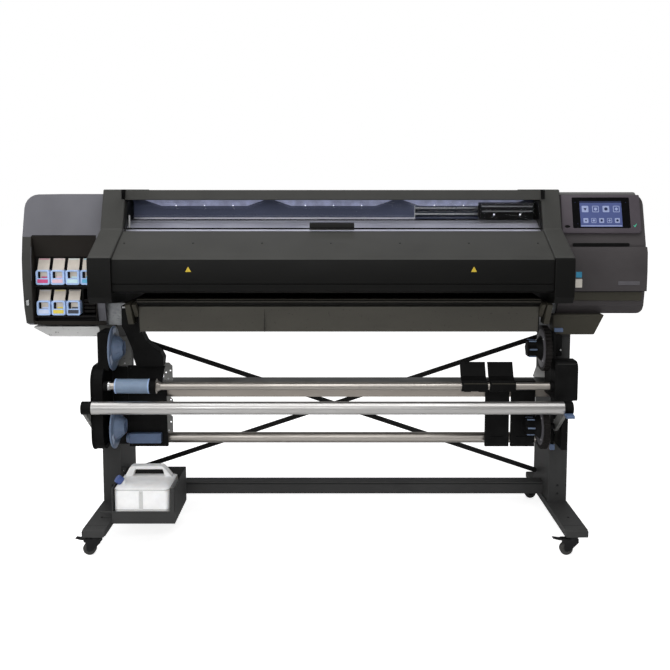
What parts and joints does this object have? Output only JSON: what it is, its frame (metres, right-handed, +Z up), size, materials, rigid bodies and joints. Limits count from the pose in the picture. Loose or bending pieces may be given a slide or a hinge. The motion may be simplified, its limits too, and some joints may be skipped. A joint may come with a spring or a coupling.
{
  "type": "wide-format roll printer",
  "caption": "Wide roll-fed graphics printer on a wheeled stand, with ink cartridges, a hinged window, a touch panel, a take-up reel and a waste bottle.",
  "frame": {"origin": "on the floor, under the middle of the whole machine", "axes": "+X to the right-hand control module, +Y to the back, +Z up"},
  "size_m": [2.5385, 0.7665, 1.422],
  "materials": {
    "painted_steel_dark": "fine texture black powder coat",
    "galvanised_steel": "galvanised sheet, dull",
    "apron_paint": "satin olive grey paint",
    "cover_dark": "fine texture moulded cover",
    "cover_black": "fine texture moulded cover",
    "module_grey": "satin moulded cover",
    "panel_black": "smooth moulded bezel",
    "inner_black": "matt moulded",
    "reel_black": "matt glass-filled",
    "reel_blue": "satin moulded",
    "anodised": "satin clear anodised",
    "cartridge_body": "satin moulded",
    "window_glass": "clear tinted pane",
    "bottle_white": "translucent moulded",
    "caster_black": "matt moulded",
    "caster_tread": "dull tread",
    "roller_rubber": "ground rubber"
  },
  "bodies": {
    "frame": {"left_leg": "painted_steel_dark", "right_leg": "painted_steel_dark", "stand_crossbeam": "painted_steel_dark", "brace_bar_falling": "painted_steel_dark", "brace_bar_rising": "painted_steel_dark", "chassis_beam": "galvanised_steel", "left_pillar": "cover_dark", "right_pillar": "cover_dark", "hood": "cover_dark", "curing_cover": "cover_black", "output_apron": "apron_paint", "platen": "galvanised_steel", "carriage_rail": "inner_black", "ink_shell": "module_grey", "ink_rack": "inner_black", "control_shell": "module_grey", "right_under_cover": "module_grey", "display_panel": "panel_black", "reel_side_plate": "reel_black", "reel_motor_housing": "reel_black", "reel_beam": "anodised", "reel_rail": "anodised", "deflector_bar": "anodised", "reel_cradle": "reel_black", "air_duct": "reel_black", "waste_tray": "painted_steel_dark"},
    "caster_front_left": {"caster_fork_front_left": "caster_black"},
    "wheel_front_left": {"caster_wheel_front_left": "caster_tread"},
    "brake_front_left": {"brake_pedal_front_left": "caster_black"},
    "caster_front_right": {"caster_fork_front_right": "caster_black"},
    "wheel_front_right": {"caster_wheel_front_right": "caster_tread"},
    "brake_front_right": {"brake_pedal_front_right": "caster_black"},
    "caster_rear_left": {"caster_fork_rear_left": "caster_black"},
    "wheel_rear_left": {"caster_wheel_rear_left": "caster_tread"},
    "caster_rear_right": {"caster_fork_rear_right": "caster_black"},
    "wheel_rear_right": {"caster_wheel_rear_right": "caster_tread"},
    "cartridge_upper_1": {"cartridge_upper_1": "cartridge_body"},
    "cartridge_upper_2": {"cartridge_upper_2": "cartridge_body"},
    "cartridge_upper_3": {"cartridge_upper_3": "cartridge_body"},
    "cartridge_upper_4": {"cartridge_upper_4": "cartridge_body"},
    "cartridge_lower_1": {"cartridge_lower_1": "cartridge_body"},
    "cartridge_lower_2": {"cartridge_lower_2": "cartridge_body"},
    "cartridge_lower_3": {"cartridge_lower_3": "cartridge_body"},
    "window": {"window": "window_glass"},
    "carriage": {"carriage": "inner_black"},
    "feed_roller": {"feed_roller": "roller_rubber"},
    "power_button": {"power_button": "panel_black"},
    "service_door": {"service_door": "module_grey"},
    "tension_bar": {"tension_tube": "anodised", "tension_arm_left": "reel_black", "tension_arm_right": "reel_black"},
    "upper_left_hub": {"upper_left_hub": "reel_blue"},
    "upper_right_hub": {"upper_right_hub": "reel_black"},
    "lower_left_hub": {"lower_left_hub": "reel_blue"},
    "lower_right_hub": {"lower_right_hub": "reel_black"},
    "guide_plate_a": {"guide_plate_a": "reel_black"},
    "guide_plate_b": {"guide_plate_b": "reel_black"},
    "guide_clip_a": {"guide_clip_a": "reel_black"},
    "guide_clip_b": {"guide_clip_b": "reel_black"},
    "waste_bottle": {"waste_bottle": "bottle_white"}
  },
  "joints": [
    {"name": "caster_swivel_front_left", "type": "hinge", "parent": "frame", "child": "caster_front_left", "pos_m": [-0.9315, -0.335, 0.072], "axis": [0, 0, 1], "continuous": true},
    {"name": "wheel_spin_front_left", "type": "hinge", "parent": "caster_front_left", "child": "wheel_front_left", "pos_m": [-0.959, -0.335, 0.0255], "axis": [0, 1, 0], "continuous": true},
    {"name": "brake_press_front_left", "type": "hinge", "parent": "caster_front_left", "child": "brake_front_left", "pos_m": [-0.9755, -0.335, 0.0625], "axis": [0, -1, 0], "range_deg": [0, 14]},
    {"name": "caster_swivel_front_right", "type": "hinge", "parent": "frame", "child": "caster_front_right", "pos_m": [0.9315, -0.335, 0.072], "axis": [0, 0, 1], "continuous": true},
    {"name": "wheel_spin_front_right", "type": "hinge", "parent": "caster_front_right", "child": "wheel_front_right", "pos_m": [0.904, -0.335, 0.0255], "axis": [0, 1, 0], "continuous": true},
    {"name": "brake_press_front_right", "type": "hinge", "parent": "caster_front_right", "child": "brake_front_right", "pos_m": [0.8875, -0.335, 0.0625], "axis": [0, -1, 0], "range_deg": [0, 14]},
    {"name": "caster_swivel_rear_left", "type": "hinge", "parent": "frame", "child": "caster_rear_left", "pos_m": [-0.9315, 0.298, 0.072], "axis": [0, 0, 1], "continuous": true},
    {"name": "wheel_spin_rear_left", "type": "hinge", "parent": "caster_rear_left", "child": "wheel_rear_left", "pos_m": [-0.959, 0.298, 0.0255], "axis": [0, 1, 0], "continuous": true},
    {"name": "caster_swivel_rear_right", "type": "hinge", "parent": "frame", "child": "caster_rear_right", "pos_m": [0.9315, 0.298, 0.072], "axis": [0, 0, 1], "continuous": true},
    {"name": "wheel_spin_rear_right", "type": "hinge", "parent": "caster_rear_right", "child": "wheel_rear_right", "pos_m": [0.904, 0.298, 0.0255], "axis": [0, 1, 0], "continuous": true},
    {"name": "cartridge_upper_1_slide", "type": "slide", "parent": "frame", "child": "cartridge_upper_1", "axis": [0, -1, 0], "range_m": [0, 0.27]},
    {"name": "cartridge_upper_2_slide", "type": "slide", "parent": "frame", "child": "cartridge_upper_2", "axis": [0, -1, 0], "range_m": [0, 0.27]},
    {"name": "cartridge_upper_3_slide", "type": "slide", "parent": "frame", "child": "cartridge_upper_3", "axis": [0, -1, 0], "range_m": [0, 0.27]},
    {"name": "cartridge_upper_4_slide", "type": "slide", "parent": "frame", "child": "cartridge_upper_4", "axis": [0, -1, 0], "range_m": [0, 0.27]},
    {"name": "cartridge_lower_1_slide", "type": "slide", "parent": "frame", "child": "cartridge_lower_1", "axis": [0, -1, 0], "range_m": [0, 0.27]},
    {"name": "cartridge_lower_2_slide", "type": "slide", "parent": "frame", "child": "cartridge_lower_2", "axis": [0, -1, 0], "range_m": [0, 0.27]},
    {"name": "cartridge_lower_3_slide", "type": "slide", "parent": "frame", "child": "cartridge_lower_3", "axis": [0, -1, 0], "range_m": [0, 0.27]},
    {"name": "window_hinge", "type": "hinge", "parent": "frame", "child": "window", "pos_m": [0, -0.0785, 1.374], "axis": [-1, 0, 0], "range_deg": [0, 75]},
    {"name": "carriage_travel", "type": "slide", "parent": "frame", "child": "carriage", "axis": [1, 0, 0], "range_m": [-1.43, 0]},
    {"name": "feed_roller_spin", "type": "hinge", "parent": "frame", "child": "feed_roller", "pos_m": [0, 0.142, 1.253], "axis": [1, 0, 0], "continuous": true},
    {"name": "power_button_press", "type": "slide", "parent": "frame", "child": "power_button", "axis": [0, 0.9532, -0.3022], "range_m": [0, 0.0025], "stiffness_N_per_m": 400},
    {"name": "service_door_hinge", "type": "hinge", "parent": "frame", "child": "service_door", "pos_m": [1.095, -0.112, 1.0105], "axis": [1, 0, 0], "range_deg": [0, 80]},
    {"name": "tension_bar_swing", "type": "hinge", "parent": "frame", "child": "tension_bar", "pos_m": [0, -0.15, 0.462], "axis": [1, 0, 0], "range_deg": [-8, 60]},
    {"name": "upper_left_hub_spin", "type": "hinge", "parent": "frame", "child": "upper_left_hub", "pos_m": [-0.8985, -0.15, 0.784], "axis": [1, 0, 0], "continuous": true},
    {"name": "upper_right_hub_spin", "type": "hinge", "parent": "frame", "child": "upper_right_hub", "pos_m": [0.857, -0.15, 0.784], "axis": [1, 0, 0], "continuous": true},
    {"name": "lower_left_hub_spin", "type": "hinge", "parent": "frame", "child": "lower_left_hub", "pos_m": [-0.8985, -0.15, 0.462], "axis": [1, 0, 0], "continuous": true},
    {"name": "lower_right_hub_spin", "type": "hinge", "parent": "frame", "child": "lower_right_hub", "pos_m": [0.857, -0.15, 0.462], "axis": [1, 0, 0], "continuous": true},
    {"name": "guide_plate_a_slide", "type": "slide", "parent": "frame", "child": "guide_plate_a", "axis": [1, 0, 0], "range_m": [-1.3, 0]},
    {"name": "guide_plate_b_slide", "type": "slide", "parent": "frame", "child": "guide_plate_b", "axis": [1, 0, 0], "range_m": [0, 0.056]},
    {"name": "guide_clip_a_slide", "type": "slide", "parent": "frame", "child": "guide_clip_a", "axis": [1, 0, 0], "range_m": [-1.18, 0]},
    {"name": "guide_clip_b_slide", "type": "slide", "parent": "frame", "child": "guide_clip_b", "axis": [1, 0, 0], "range_m": [0, 0.1]},
    {"name": "waste_bottle_lift", "type": "slide", "parent": "frame", "child": "waste_bottle", "axis": [0, 0, 1], "range_m": [0, 0.12]}
  ]
}
